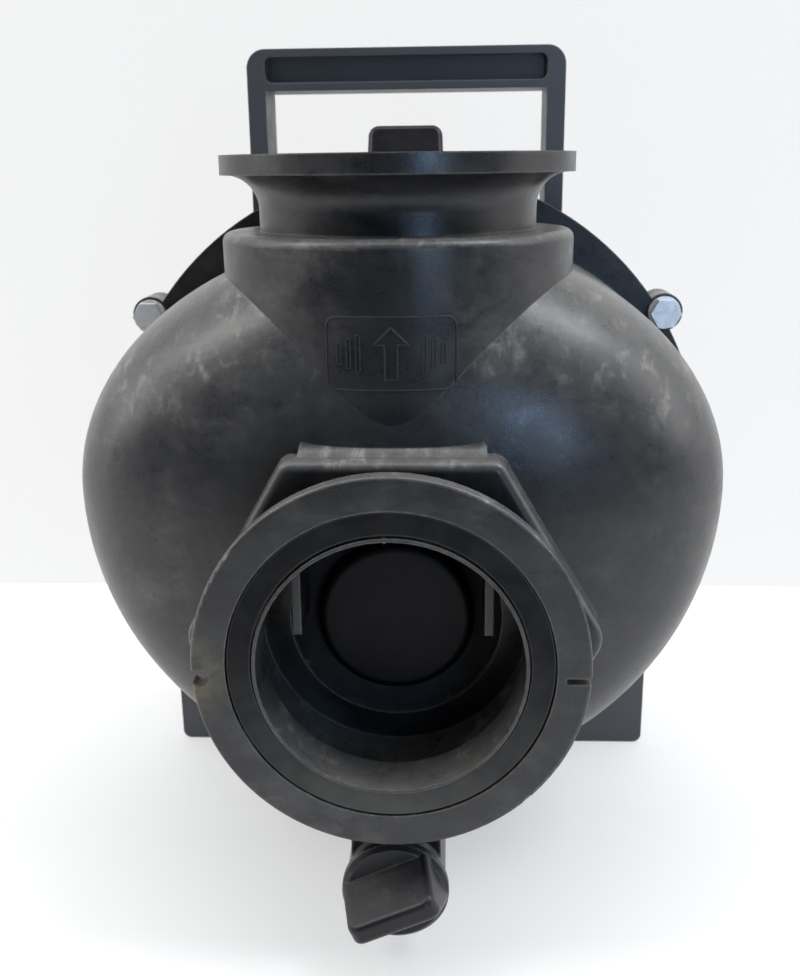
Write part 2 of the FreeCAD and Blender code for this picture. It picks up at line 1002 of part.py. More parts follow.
def inner_ribs():
    """Radial ribs that tie the engine bosses to the adapter wall and the seal tube."""
    ribs = []
    for number, angle in enumerate((45, 135, 225, 315), start=1):
        rib = slab(
            f"adapter_rib_{number}",
            [
                ("seal_chamber_radius + 3", "hub_plate_front + 4"),
                ("adapter_radius - 3", "hub_plate_front + 4"),
                ("adapter_radius - 3", "engine_face - 8"),
                ("seal_chamber_radius + 3", "seal_wall_back - 4"),
            ],
            "rib_thick",
            "XY_Plane",
            ("0", "0", "shaft_height"),
            Rotation(Vector(0, 1, 0), -angle),
        )
        ribs.append(rib)
    for number, (across, up) in volute_screw_places():
        at = (across, "hub_plate_front + 1", up)
        depth = "insert_length * 1.5"
        ribs.append(rod(f"insert_boss_{number}", "insert_boss_radius", depth, "y", at))
    return ribs


def volute_screw_places():
    places = []
    for number, angle in enumerate((70, 160, 250, 340), start=1):
        places.append((number, around("volute_screw_circle", f"{angle} deg")))
    return places


def housing_holes():
    seal_bore = lathe(
        "seal_bore",
        [
            ("0", "hub_plate_front - 1"),
            ("seal_chamber_radius", "hub_plate_front - 1"),
            ("seal_chamber_radius", "seat_pocket_front"),
            ("seat_pocket_radius", "seat_pocket_front"),
            ("seat_pocket_radius", "seat_pocket_back"),
            ("sleeve_radius + 2", "seat_pocket_back"),
            ("sleeve_radius + 2", "seal_wall_back + 1"),
            ("0", "seal_wall_back + 1"),
        ],
        "y",
        ("0", "0", "shaft_height"),
    )
    fill_place = ("0", "fill_back", "fill_face")
    holes = [
        seal_bore,
        plug_hole("fill_hole", "z", fill_place, "plug_shank * 1.5"),
        rod("fill_relief", "plug_head_radius + plug_gap", "rim_thick", "z", fill_place),
    ]
    for number, (across, up) in engine_places():
        at = (across, "hub_plate_front - 1", up)
        length = "engine_face - hub_plate_front + 2"
        holes.append(rod(f"engine_hole_{number}", "engine_hole_radius", length, "y", at))
        depth = "engine_head_depth"
        holes.append(rod(f"engine_head_{number}", "engine_head_radius", depth, "y", at))
    for number, (across, up) in volute_screw_places():
        at = (across, "hub_plate_front - 1", up)
        holes.append(rod(f"insert_hole_{number}", "insert_radius", "insert_length + 2", "y", at))
    for number, across in enumerate(("-foot_hole_side", "foot_hole_side")):
        for row, along in enumerate(("foot_hole_front", "foot_hole_rear")):
            at = (across, along, "floor - 1")
            label = f"foot_hole_{number}_{row}"
            holes.append(rod(label, "foot_hole_radius", "foot_thick + 12", "z", at))
    return holes + ear_holes("housing_ear_hole")


# ---------------------------------------------------------------- fasteners

def six_point(label, across_flats, thick, at):
    """A hexagonal prism, bolt head or nut, that starts at the given place."""
    corner = f"({across_flats}) / 2 / cos(30 deg)"
    corners = [(f"{corner} * cos({60 * k} deg)", f"{corner} * sin({60 * k} deg)") for k in range(6)]
    across, front, up = at
    return slab(label, corners, thick, at=(across, f"{front} + ({thick}) / 2", up))


def casing_bolt(number, across, up):
    front = "parting - rim_thick - washer_thick - bolt_head_thick"
    at = (across, front, up)
    head = six_point(f"bolt_head_{number}", "bolt_head_width", "bolt_head_thick", at)
    length = "bolt_head_thick + washer_thick + rim_thick * 2 + bolt_proud"
    shank = rod(f"bolt_shank_{number}", "bolt_radius", length, "y", at)
    return joined(f"bolt_{number}", [head, shank])


def casing_washer(name, across, front, up):
    disc = rod(f"washer_disc_{name}", "washer_radius", "washer_thick", "y", (across, front, up))
    start = f"{front} - washer_thick"
    through = "washer_thick * 3"
    hole = rod(f"washer_hole_{name}", "bolt_hole_radius", through, "y", (across, start, up))
    return less(f"washer_{name}", disc, [hole])


def casing_nut(number, across, up):
    front = "parting + rim_thick + washer_thick"
    hexagon = six_point(f"nut_hexagon_{number}", "bolt_head_width", "nut_thick", (across, front, up))
    bore = "bolt_radius + running_gap"
    at = (across, f"{front} - 1", up)
    hole = rod(f"nut_hole_{number}", bore, "nut_thick + 2", "y", at)
    return less(f"nut_{number}", hexagon, [hole])


def casing_fasteners():
    bolts, washers, nuts = [], [], []
    for number, angle in enumerate(EAR_ANGLES, start=1):
        across, up = around("ear_reach", angle)
        bolts.append(casing_bolt(number, across, up))
        front = "parting - rim_thick - washer_thick"
        washers.append(casing_washer(f"front_{number}", across, front, up))
        washers.append(casing_washer(f"rear_{number}", across, "parting + rim_thick", up))
        nuts.append(casing_nut(number, across, up))
    return [("casing_bolts", bolts), ("casing_washers", washers), ("casing_nuts", nuts)]


def volute_fasteners():
    screws, inserts = [], []
    for number, (across, up) in volute_screw_places():
        at = (across, "hub_plate_front - volute_wall - volute_head_thick", up)
        head = rod(f"volute_head_{number}", "volute_head_radius", "volute_head_thick", "y", at)
        length = "volute_head_thick + volute_wall + insert_length * 0.7"
        shank = rod(f"volute_shank_{number}", "volute_screw_radius", length, "y", at)
        screws.append(joined(f"volute_screw_{number}", [head, shank]))
        at = (across, "hub_plate_front", up)
        body = rod(f"insert_body_{number}", "insert_radius", "insert_length", "y", at)
        bore = "volute_screw_radius + running_gap"
        at = (across, "hub_plate_front - 1", up)
        hole = rod(f"insert_bore_{number}", bore, "insert_length + 2", "y", at)
        inserts.append(less(f"insert_{number}", body, [hole]))
    return [("volute_screws", screws), ("volute_inserts", inserts)]


# ---------------------------------------------------------------- screw plugs

def plug_wing(label):
    """A wide wing that thins from the head to its tip, with soft corners and edges."""
    foot = "plug_gap + plug_head_thick"
    tip = f"{foot} + wing_height"
    face = slab(
        label + "_face",
        [
            ("-wing_root", f"{foot} - 1"),
            ("wing_root", f"{foot} - 1"),
            ("wing_tip", tip),
            ("-wing_tip", tip),
        ],
        "wing_base_thick",
    )
    side = slab(
        label + "_side",
        [
            ("-wing_base_thick / 2", f"{foot} - 1"),
            ("wing_base_thick / 2", f"{foot} - 1"),
            ("wing_thick / 2", tip),
            ("-wing_thick / 2", tip),
        ],
        "wing_root * 2",
        "YZ_Plane",
    )
    top = size(tip)
    root = size(f"{foot} - 1")

    def corner(edge):
        box = edge.BoundBox
        return box.ZMin > top - 0.01 and box.YLength > 1 and box.XLength < 0.01

    def ridge(edge):
        return edge.BoundBox.ZMin > root + 0.01 or edge.BoundBox.ZLength > 1

    wedge = common(label + "_wedge", [face, side])
    cornered = softened(label + "_cornered", wedge, corner, "wing_corner")
    return softened(label + "_wing_soft", cornered, ridge, "wing_soft")


def screw_plug(label, axis, at, turn):
    """A hollow plug with a round head and one flat wing to turn it by."""
    head_top = "plug_gap + plug_head_thick"
    turned = lathe(
        label + "_stem",
        [
            ("0", "-plug_shank"),
            ("plug_radius - plug_chamfer", "-plug_shank"),
            ("plug_radius", "-plug_shank + plug_chamfer"),
            ("plug_radius", "plug_gap"),
            ("plug_head_radius", "plug_gap"),
            ("plug_head_radius", f"{head_top} - plug_chamfer"),
            ("plug_head_radius - plug_chamfer", head_top),
            ("0", head_top),
        ],
        "z",
    )
    solid = joined(label + "_solid", [turned, plug_wing(label)])
    hollow = rod(
        label + "_core",
        "plug_radius - plug_skin",
        "plug_shank - 2",
        "z",
        ("0", "0", "-plug_shank"),
    )
    plug = less(label, solid, [hollow])
    return place(plug, AXES[axis].multiply(Rotation(Vector(0, 0, 1), turn)), at)


def plug_ring(label, axis, at):
    section = "plug_ring_section"
    return ring(label, f"plug_radius + {section} * 1.7", section, axis, at)


# ---------------------------------------------------------------- flap valve

FLAP_FRONT = "seat_front + seat_thick + flap_gap"
FLAP_BACK = f"{FLAP_FRONT} + flap_thick"
WEIGHT_FRONT = f"{FLAP_FRONT} - weight_thick - 1"
WEIGHT_BACK = f"{FLAP_BACK} + weight_thick"


def flap_disc():
    """The rubber flap with its neck and the barrel that turns on the pin."""
    barrel_radius = "hinge_pin_radius + hinge_wall"
    width = "hinge_half_width * 2"
    hinge = ("-hinge_half_width", "hinge_back", "hinge_height")
    disc = rod("flap_plate", "flap_radius", "flap_thick", "y", ("0", FLAP_FRONT, "0"))
    barrel = rod("flap_barrel", barrel_radius, width, "x", hinge)
    neck = block(
        "flap_neck",
        (
            ("-hinge_half_width + hinge_wall", "hinge_half_width - hinge_wall"),
            (FLAP_FRONT, "hinge_back"),
            ("flap_radius - hinge_wall * 4", "hinge_height"),
        ),
    )
    reach = "hinge_height - flap_radius + hinge_wall * 5"
    neck_limit = rod("flap_neck_limit", reach, width, "x", hinge)
    pin_bore = rod(
        "flap_pin_bore",
        "hinge_pin_radius + running_gap",
        "hinge_half_width * 2 + 2",
        "x",
        ("-hinge_half_width - 1", "hinge_back", "hinge_height"),
    )
    rivet_bore = rod(
        "flap_rivet_bore",
        "rivet_radius + running_gap",
        "flap_thick * 2",
        "y",
        ("0", f"{FLAP_FRONT} - 1", "0"),
    )
    solid = joined("flap_solid", [disc, barrel, common("flap_neck_part", [neck, neck_limit])])
    return less("flapper", solid, [pin_bore, rivet_bore])


def flap_weights():
    """The closed front weight that drops into the seat, and the ring behind the flap."""
    bore = "rivet_radius + running_gap"
    blind = f"{WEIGHT_FRONT} + weight_thick / 2"
    turned = lathe(
        "front_weight_turned",
        [
            ("0", WEIGHT_FRONT),
            ("front_weight_radius", WEIGHT_FRONT),
            ("front_weight_radius", FLAP_FRONT),
            (bore, FLAP_FRONT),
            (bore, blind),
            ("0", blind),
        ],
    )
    softened(
        "flapper_front_weight",
        turned,
        lambda edge: circle_at(edge, "front_weight_radius", WEIGHT_FRONT, "y"),
        "front_weight_soft",
    )
    lathe(
        "flapper_rear_weight",
        [
            (bore, FLAP_BACK),
            ("rear_weight_radius", FLAP_BACK),
            ("rear_weight_radius", f"{WEIGHT_BACK} - 1"),
            ("rear_weight_radius - 1", WEIGHT_BACK),
            (bore, WEIGHT_BACK),
        ],
    )


def flap_fasteners():
    """The rivet that holds both weights to the flap, and the hinge pin."""
    lathe(
        "flapper_rivet",
        [
            ("0", f"{WEIGHT_FRONT} + weight_thick / 2 + running_gap"),
            ("rivet_radius", f"{WEIGHT_FRONT} + weight_thick / 2 + running_gap"),
            ("rivet_radius", WEIGHT_BACK),
            ("rivet_head_radius", WEIGHT_BACK),
            ("rivet_head_radius - 1.5", f"{WEIGHT_BACK} + 2"),
            ("0", f"{WEIGHT_BACK} + 2"),
        ],
    )
    reach = "lug_inside + lug_thick"
    start = (f"-({reach})", "hinge_back", "hinge_height")
    rod("flapper_pin", "hinge_pin_radius", f"({reach}) * 2", "x", start)


# ---------------------------------------------------------------- volute

def spiral_disc(extra, front, back):
    """A disc whose edge grows evenly once round from the tongue."""
    points = []
    steps = 24
    for step in range(steps + 1):
        turn = 2 * math.pi * step / steps
        reach = size("volute_start") + size("volute_growth") * step / steps + extra
        points.append(Vector(reach * math.cos(turn), 0, reach * math.sin(turn)))
    curve = Part.BSplineCurve()
    curve.interpolate(points)
    face = Part.Face(Part.Wire([curve.toShape(), Part.makeLine(points[-1], points[0])]))
    shape = face.extrude(Vector(0, back - front, 0))
    shape.translate(Vector(0, front, size("shaft_height")))
    return shape


def volute():
    wall = size("volute_wall")
    front = size("volute_front")
    back = size("hub_plate_front")
    height = size("shaft_height")
    inner_side = size("volute_start")
    outer_side = inner_side + size("volute_growth")
    overlap = 3.0
    throat_outer = Part.makeBox(
        outer_side - inner_side + 2 * wall + 1,
        back - front,
        size("volute_throat") + overlap,
        Vector(inner_side - wall, front, height - overlap),
    )
    throat_inner = Part.makeBox(
        outer_side - inner_side - 1,
        back - front - wall + 1,
        size("volute_throat") + 2 * overlap,
        Vector(inner_side + 0.5, front + wall, height - overlap),
    )
    solid = spiral_disc(wall, front, back).fuse(throat_outer)
    flange = Part.makeCylinder(
        size("volute_flange_radius"),
        wall,
        Vector(0, back - wall, height),
        Vector(0, 1, 0),
    )
    spigot = Part.makeCylinder(
        size("eye_radius") + 5,
        front - size("spigot_front") + 1,
        Vector(0, size("spigot_front"), height),
        Vector(0, 1, 0),
    )
    solid = solid.fuse([flange, spigot])
    eye = Part.makeCylinder(
        size("eye_radius"),
        front + wall - size("spigot_front") + 2,
        Vector(0, size("spigot_front") - 1, height),
        Vector(0, 1, 0),
    )
    groove_width = 2 * size("inlet_ring_section") + 0.2
    groove_front = size("chamber_back") + (size("chamber_wall") - groove_width) / 2
    groove_place = Vector(0, groove_front, height)
    groove = Part.makeCylinder(
        size("eye_radius") + 6, groove_width, groove_place, Vector(0, 1, 0)
    ).cut(
        Part.makeCylinder(
            size("inlet_groove_radius"), groove_width, groove_place, Vector(0, 1, 0)
        )
    )
    tools = [spiral_disc(0.0, front + wall, back + 1), throat_inner, eye, groove]
    for number, (across, up) in volute_screw_places():
        at = Vector(size(across), back - wall - 4, size(up))
        hole_radius = size("volute_screw_radius") + 0.3
        tools.append(Part.makeCylinder(hole_radius, wall + 8, at, Vector(0, 1, 0)))
        clear = Vector(size(across), front, size(up))
        clear_radius = size("volute_head_radius") + 0.4
        tools.append(Part.makeCylinder(clear_radius, back - wall - front, clear, Vector(0, 1, 0)))
    return coded("volute", solid.cut(tools))


# ---------------------------------------------------------------- rotor

def vane(angle):
    """One swept-back vane from the hub out to the impeller's edge."""
    inner = size("hub_radius") - 1
    outer = size("impeller_radius")
    sweep = math.radians(95)
    half = size("vane_thick") / 2
    steps = 8
    lead, trail = [], []
    for step in range(steps + 1):
        part = step / steps
        reach = inner + (outer - inner) * part
        turn = math.radians(angle) - sweep * part ** 0.8
        offset = half / reach * 1.25
        lead.append(Vector(reach * math.cos(turn + offset), 0, reach * math.sin(turn + offset)))
        trail.append(Vector(reach * math.cos(turn - offset), 0, reach * math.sin(turn - offset)))
    sides = []
    for points in (lead, list(reversed(trail))):
        curve = Part.BSplineCurve()
        curve.interpolate(points)
        sides.append(curve.toShape())
    ends = [Part.makeLine(lead[-1], trail[-1]), Part.makeLine(trail[0], lead[0])]
    face = Part.Face(Part.Wire([sides[0], ends[0], sides[1], ends[1]]))
    depth = size("shroud_front") - size("impeller_front") + 1
    shape = face.extrude(Vector(0, depth, 0))
    shape.translate(Vector(0, size("impeller_front"), size("shaft_height")))
    return shape


def impeller():
    vanes = [coded(f"vane_{number}", vane(90 * number)) for number in range(4)]
    hub = lathe(
        "impeller_hub",
        [
            ("0", "hub_front"),
            ("hub_radius - 4", "hub_front"),
            ("hub_radius", "hub_front + 5"),
            ("hub_radius", "shroud_front"),
            ("impeller_radius", "shroud_front"),
            ("impeller_radius", "impeller_back"),
            ("0", "impeller_back"),
        ],
        "y",
        ("0", "0", "shaft_height"),
    )
    trim = rod(
        "impeller_trim",
        "impeller_radius",
        "impeller_back - impeller_front",
        "y",
        ("0", "impeller_front", "shaft_height"),
    )
    bore = lathe(
        "impeller_bore",
        [
            ("0", "hub_front - 1"),
            ("screw_hole_radius", "hub_front - 1"),
            ("screw_hole_radius", "sleeve_front"),
            ("sleeve_radius", "sleeve_front"),
            ("sleeve_radius", "impeller_back + 1"),
            ("0", "impeller_back + 1"),
        ],
        "y",
        ("0", "0", "shaft_height"),
    )
    room = "screw_washer_radius + 0.5"
    cap = rod("screw_room", room, "9", "y", ("0", "hub_front - 9", "shaft_height"))
    solid = common("impeller_round", [joined("impeller_solid", [hub] + vanes), trim])
    return less("impeller", solid, [bore, cap])


def shaft_sleeve():
    turned = lathe(
        "sleeve_turned",
        [
            ("screw_hole_radius", "sleeve_front"),
            ("sleeve_radius", "sleeve_front"),
            ("sleeve_radius", "sleeve_back - 1"),
            ("sleeve_radius - 1", "sleeve_back"),
            ("shaft_radius", "sleeve_back"),
            ("shaft_radius", "shaft_end"),
            ("screw_hole_radius", "shaft_end"),
        ],
        "y",
        ("0", "0", "shaft_height"),
    )
    keyway = block(
        "keyway",
        (
            ("-keyway_half_width", "keyway_half_width"),
            ("shaft_end", "sleeve_back + 1"),
            ("shaft_height", "shaft_height + shaft_radius + keyway_depth"),
        ),
    )
    return less("shaft_sleeve", turned, [keyway])


def impeller_fastener():
    """The hexagon screw and its washer, drawn only as far as the shaft's end."""
    washer_front = "hub_front - screw_washer_thick"
    head_front = f"{washer_front} - screw_head_thick"
    at = ("0", head_front, "shaft_height")
    head = six_point("impeller_head", "screw_head_width", "screw_head_thick", at)
    shank = rod("impeller_shank", "screw_radius", f"shaft_end - ({head_front})", "y", at)
    joined("impeller_screw", [head, shank])
    bore = "screw_radius + running_gap"
    lathe(
        "impeller_washer",
        [
            (bore, washer_front),
            ("screw_washer_radius", washer_front),
            ("screw_washer_radius", "hub_front"),
            (bore, "hub_front"),
        ],
        "y",
        ("0", "0", "shaft_height"),
    )


def coil(radius, wire, front, back, turns):
    """A round-wire compression spring about the shaft axis."""
    pitch = (back - front - 2 * wire) / turns
    path = Part.makeHelix(pitch, pitch * turns, radius)
    section = Part.Wire(Part.makeCircle(wire, Vector(radius, 0, 0), Vector(0, 1, 0)))
    shape = Part.Wire(path).makePipeShell([section], True, True)
    shape.rotate(Vector(0, 0, 0), Vector(1, 0, 0), -90)
    shape.translate(Vector(0, front + wire, size("shaft_height")))
    return shape


def shaft_seal():
    height = ("0", "0", "shaft_height")
    face = "seat_pocket_front"
    lathe(
        "seal_seat_cup",
        [
            ("sleeve_radius + 2.6", "seat_pocket_back"),
            ("seat_pocket_radius", "seat_pocket_back"),
            ("seat_pocket_radius", face),
            ("seat_pocket_radius - 2", face),
            ("seat_pocket_radius - 2", "seat_pocket_back - 2"),
            ("sleeve_radius + 2.6", "seat_pocket_back - 2"),
        ],
        "y",
        height,
    )
    lathe(
        "seal_seat",
        [
            ("sleeve_radius + 1", "seat_pocket_back - 2"),
            ("seat_pocket_radius - 2", "seat_pocket_back - 2"),
            ("seat_pocket_radius - 2", f"{face} - 0.5"),
            ("sleeve_radius + 1", f"{face} - 0.5"),
        ],
        "y",
        height,
    )
    carbon_back = f"{face} - 0.5 - running_gap"
    lathe(
        "seal_face",
        [
            ("sleeve_radius + 0.3", f"{face} - 6"),
            ("seat_pocket_radius - 1", f"{face} - 6"),
            ("seat_pocket_radius - 1", f"{face} - 3"),
            ("seat_pocket_radius - 2.5", f"{face} - 3"),
            ("seat_pocket_radius - 2.5", carbon_back),
            ("sleeve_radius + 0.3", carbon_back),
        ],
        "y",
        height,
    )
    lathe(
        "seal_bellows",
        [
            ("sleeve_radius", f"{face} - 17"),
            ("sleeve_radius + 2", f"{face} - 17"),
            ("sleeve_radius + 2", f"{face} - 8"),
            ("seat_pocket_radius - 1", f"{face} - 8"),
            ("seat_pocket_radius - 1", f"{face} - 6"),
            ("sleeve_radius", f"{face} - 6"),
        ],
        "y",
        height,
    )
    lathe(
        "seal_retainer",
        [
            ("sleeve_radius", "impeller_back + 0.5"),
            ("seat_pocket_radius - 0.5", "impeller_back + 0.5"),
            ("seat_pocket_radius - 0.5", "impeller_back + 2"),
            ("sleeve_radius", "impeller_back + 2"),
        ],
        "y",
        height,
    )
    spring_front = size("impeller_back + 2")
    spring_back = size(f"{face} - 8")
    coil_radius = size("sleeve_radius") + 4.2
    coded("seal_spring", coil(coil_radius, 1.0, spring_front, spring_back, 4.5))
    lathe(
        "slinger",
        [
            ("sleeve_radius", "seal_wall_back + 1"),
            ("sleeve_radius + 7", "seal_wall_back + 1"),
            ("sleeve_radius + 7", "seal_wall_back + 2.5"),
            ("sleeve_radius + 3", "seal_wall_back + 3.5"),
            ("sleeve_radius", "seal_wall_back + 3.5"),
        ],
        "y",
        height,
    )


# ---------------------------------------------------------------- the whole pump

def build():
    front_casing()
    port_gasket("suction_gasket", "y", ("0", "gasket_sink", "gasket_shift"))
    port_gasket(
        "discharge_gasket",
        "z",
        ("0", "outlet_back", "outlet_top - gasket_thick"),
    )
    rear_housing()
    ring(
        "casing_ring",
        "seal_groove_radius",
        "ring_section - running_gap",
        "y",
        ("0", "parting - ring_section", "shaft_height"),
    )
    for label, pieces in casing_fasteners() + volute_fasteners():
        group = doc.addObject("Part::Compound", label)
        group.Links = pieces
    volute()
    ring(
        "volute_inlet_ring",
        "inlet_groove_radius + inlet_ring_section + running_gap",
        "inlet_ring_section",
        "y",
        ("0", "chamber_back + chamber_wall / 2", "shaft_height"),
    )
    screw_plug("drain_plug", "front", ("0", "drain_face", "drain_height"), size("wing_tilt"))
    drain_sink = "plug_ring_section - plug_gap"
    plug_ring("drain_ring", "front", ("0", f"drain_face + {drain_sink}", "drain_height"))
    screw_plug("fill_plug", "z", ("0", "fill_back", "fill_face"), 0)
    plug_ring("fill_ring", "z", ("0", "fill_back", f"fill_face - ({drain_sink})"))
    flap_disc()
    flap_weights()
    flap_fasteners()
    impeller()
    shaft_sleeve()
    impeller_fastener()
    shaft_seal()
    doc.recompute()


NODES = (
    "front_casing", "suction_gasket", "discharge_gasket", "rear_housing", "casing_ring",
    "casing_bolts", "casing_washers", "casing_nuts", "volute", "volute_inlet_ring",
    "volute_screws", "volute_inserts", "drain_plug", "drain_ring", "fill_plug", "fill_ring",
    "flapper", "flapper_front_weight", "flapper_rear_weight", "flapper_rivet", "flapper_pin",
    "impeller", "shaft_sleeve", "impeller_screw", "impeller_washer", "seal_retainer",
    "seal_spring", "seal_bellows", "seal_face", "seal_seat", "seal_seat_cup", "slinger",
)


def check_and_write():
    """Stop at any failed object, then write one file for each piece."""
    for item in doc.Objects:
        if "Invalid" in item.State or "Error" in item.State:
            raise RuntimeError(f"{item.Name} failed: {item.State}")
    os.makedirs("parts", exist_ok=True)
    for name in NODES:
        piece = doc.getObject(name)
        shape = piece.Shape
        if shape.isNull() or not shape.isValid():
            raise RuntimeError(f"{name} has no valid shape")
        box = shape.BoundBox
        print(
            f"{name:22s} solids {len(shape.Solids):2d} volume {shape.Volume / 1000:8.2f} cm3 "
            f"X {box.XMin:7.1f} {box.XMax:7.1f} Y {box.YMin:7.1f} {box.YMax:7.1f} "
            f"Z {box.ZMin:7.1f} {box.ZMax:7.1f}"
        )
        shape.exportStep(os.path.join("parts", piece.Label + ".step"))


build()
check_and_write()
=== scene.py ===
import json
import math

import bmesh
import bpy
from mathutils import Matrix, Vector


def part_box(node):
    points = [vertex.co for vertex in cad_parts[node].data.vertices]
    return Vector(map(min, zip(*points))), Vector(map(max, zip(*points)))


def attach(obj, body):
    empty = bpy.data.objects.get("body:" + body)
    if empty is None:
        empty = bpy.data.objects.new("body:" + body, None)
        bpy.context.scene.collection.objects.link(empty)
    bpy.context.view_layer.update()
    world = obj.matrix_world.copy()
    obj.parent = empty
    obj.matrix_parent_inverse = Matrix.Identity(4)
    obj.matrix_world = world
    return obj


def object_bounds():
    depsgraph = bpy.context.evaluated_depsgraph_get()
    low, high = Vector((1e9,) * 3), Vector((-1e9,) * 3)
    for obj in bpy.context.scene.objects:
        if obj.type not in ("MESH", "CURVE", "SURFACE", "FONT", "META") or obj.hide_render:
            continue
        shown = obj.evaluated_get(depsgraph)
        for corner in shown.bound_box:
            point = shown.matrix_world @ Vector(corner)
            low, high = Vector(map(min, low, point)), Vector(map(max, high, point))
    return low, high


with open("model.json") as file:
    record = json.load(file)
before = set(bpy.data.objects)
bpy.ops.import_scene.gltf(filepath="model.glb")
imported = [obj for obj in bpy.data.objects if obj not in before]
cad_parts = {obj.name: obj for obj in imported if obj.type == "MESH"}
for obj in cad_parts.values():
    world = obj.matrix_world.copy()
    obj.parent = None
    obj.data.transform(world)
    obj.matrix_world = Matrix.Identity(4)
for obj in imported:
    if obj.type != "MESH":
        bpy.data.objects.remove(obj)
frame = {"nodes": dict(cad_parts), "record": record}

cad_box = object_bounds()

# ------------------------------------------------------------ node materials


class Shader:
    """One procedural material and the short calls that build its nodes."""

    def __init__(self, name):
        self.material = bpy.data.materials.new(name)
        self.material.use_nodes = True
        self.tree = self.material.node_tree
        self.surface = self.tree.nodes["Principled BSDF"]
        self.place = self.add("TexCoord").outputs["Object"]

    def add(self, kind, options=None, **inputs):
        """Makes a node; an input is a number, a colour or another node's output."""
        node = self.tree.nodes.new("ShaderNode" + kind)
        for option, value in (options or {}).items():
            setattr(node, option, value)
        for label, value in inputs.items():
            self.feed(node.inputs[label.replace("_", " ")], value)
        return node

    def feed(self, socket, value):
        """Sets an input to a number or colour, or links another node's output to it."""
        if isinstance(value, bpy.types.NodeSocket):
            self.tree.links.new(value, socket)
        elif isinstance(value, tuple) and len(value) == 3 and socket.type == "RGBA":
            socket.default_value = (*value, 1.0)
        else:
            socket.default_value = value

    def stretched(self, x, y, z):
        """Object coordinates scaled unevenly, for smears that run one way."""
        return self.add("Mapping", Vector=self.place, Scale=(x, y, z)).outputs["Vector"]

    def noise(self, size, detail=4.0, roughness=0.55, distortion=0.0, place=None):
        """Smooth noise whose blotches are about size metres across."""
        node = self.add(
            "TexNoise",
            Vector=place or self.place,
            Scale=1.0 / size,
            Detail=detail,
            Roughness=roughness,
            Distortion=distortion,
        )
        return node.outputs["Fac"]

    def span(self, value, low, high, to_low=0.0, to_high=1.0):
        """Maps low..high of a value to another span, held at the ends."""
        node = self.add("MapRange")
        node.clamp = True
        self.feed(node.inputs["Value"], value)
        ends = {"From Min": low, "From Max": high, "To Min": to_low, "To Max": to_high}
        for label, number in ends.items():
            node.inputs[label].default_value = number
        return node.outputs["Result"]

    def sum(self, first, second, operation="ADD"):
        """Two numbers added, or joined by another operation."""
        node = self.add("Math", {"operation": operation})
        self.feed(node.inputs[0], first)
        self.feed(node.inputs[1], second)
        return node.outputs["Value"]

    def times(self, first, second):
        return self.sum(first, second, "MULTIPLY")

    def facing(self, axis):
        """How far the surface faces along one axis, from -1 to 1."""
        normal = self.add("NewGeometry").outputs["Normal"]
        parts = self.add("SeparateXYZ", Vector=normal)
        return parts.outputs[axis]

    def near(self, place, reach):
        """1 at a place, fading to 0 at reach metres from it."""
        away = self.add("VectorMath", {"operation": "DISTANCE"})
        self.feed(away.inputs[0], self.place)
        away.inputs[1].default_value = place
        return self.span(away.outputs["Value"], reach, 0.0)

    def blend(self, amount, first, second):
        """A colour between first and second; sockets 6 and 7 are the mix node's colour ends."""
        node = self.add("Mix", {"data_type": "RGBA"})
        self.feed(node.inputs["Factor"], amount)
        self.feed(node.inputs[6], first)
        self.feed(node.inputs[7], second)
        return node.outputs[2]

    def edges(self, radius):
        """Near 1 on outer edges sharper than radius metres, 0 on flats."""
        soft = self.add("Bevel", {"samples": 4}, Radius=radius).outputs["Normal"]
        flat = self.add("NewGeometry").outputs["Normal"]
        dot = self.add("VectorMath", {"operation": "DOT_PRODUCT"})
        self.feed(dot.inputs[0], soft)
        self.feed(dot.inputs[1], flat)
        unbent, fully_bent = 0.995, 0.86
        return self.span(dot.outputs["Value"], unbent, fully_bent)

    def bump(self, *layers, edge_radius=0.0008):
        """Stacks (height, depth in metres) layers over slightly rounded edges."""
        normal = self.add("Bevel", {"samples": 4}, Radius=edge_radius).outputs["Normal"]
        for height, depth in layers:
            node = self.add("Bump", Height=height, Distance=depth, Strength=1.0, Normal=normal)
            normal = node.outputs["Normal"]
        self.feed(self.surface.inputs["Normal"], normal)

    def finish(self, colour, roughness, metallic=0.0, specular=0.5):
        """Joins the built-up colour and roughness to the surface."""
        self.feed(self.surface.inputs["Base Color"], colour)
        self.feed(self.surface.inputs["Roughness"], roughness)
        self.feed(self.surface.inputs["Metallic"], metallic)
        self.feed(self.surface.inputs["Specular IOR Level"], specular)
        return self.material


# Linear colours of the dirt and wear that the materials share; some of them also paint light and
# highlights onto the surfaces.
# Dust colour, also painted as top light on upward faces.
DUST_AND_TOP_LIGHT = (0.20, 0.196, 0.188)
# Scuff colour, also painted as highlight streaks on upward faces.
SCUFF_AND_HIGHLIGHT = (0.42, 0.40, 0.37)
GRIME = (0.15, 0.125, 0.085)
DRIED_MUD = (0.20, 0.17, 0.09)
# Painted light on the lower half of the suction flange's gasket.
PAINTED_LIGHT_ON_RUBBER = (0.105, 0.102, 0.095)
# Rubbed rubber colour, also painted as edge highlights.
RUBBED_AND_HIGHLIT_RUBBER = (0.16, 0.157, 0.148)
BARE_METAL = (0.9, 0.9, 0.88)
CHIPPED_CERAMIC = (0.45, 0.43, 0.40)


